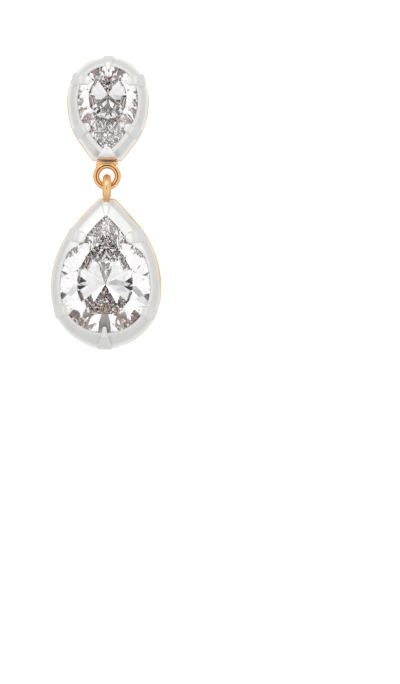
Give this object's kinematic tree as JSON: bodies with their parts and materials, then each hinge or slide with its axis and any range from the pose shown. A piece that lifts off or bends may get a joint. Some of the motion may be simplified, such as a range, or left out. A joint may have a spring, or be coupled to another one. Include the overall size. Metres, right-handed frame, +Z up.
{
  "type": "drop earring",
  "caption": "Teardrop earring: a pear-cut stone stud in a silver collet, with a larger pear-cut drop that swings from a gold eye and bail.",
  "frame": {"origin": "centre of the ear post's foot, on the flat back face of the stud", "axes": "+Z up as it hangs on the ear, +X to the viewer's right, -Y the front that faces the viewer; the post runs along +Y"},
  "size_m": [0.011, 0.0149, 0.0288],
  "materials": {
    "silver": "satin silver",
    "gold": "polished gold plate",
    "stone": "polished clear stone"
  },
  "bodies": {
    "stud": {"stud_collet": "silver", "stud_stone": "stone", "stud_back": "gold", "ear_post": "gold"},
    "drop": {"drop_collet": "silver", "drop_stone": "stone", "drop_back": "gold"}
  },
  "joints": [
    {"name": "drop_swing", "type": "hinge", "parent": "stud", "child": "drop", "pos_m": [0, -0.0013, -0.0081], "axis": [0, 1, 0], "range_deg": [-105, 105]}
  ]
}
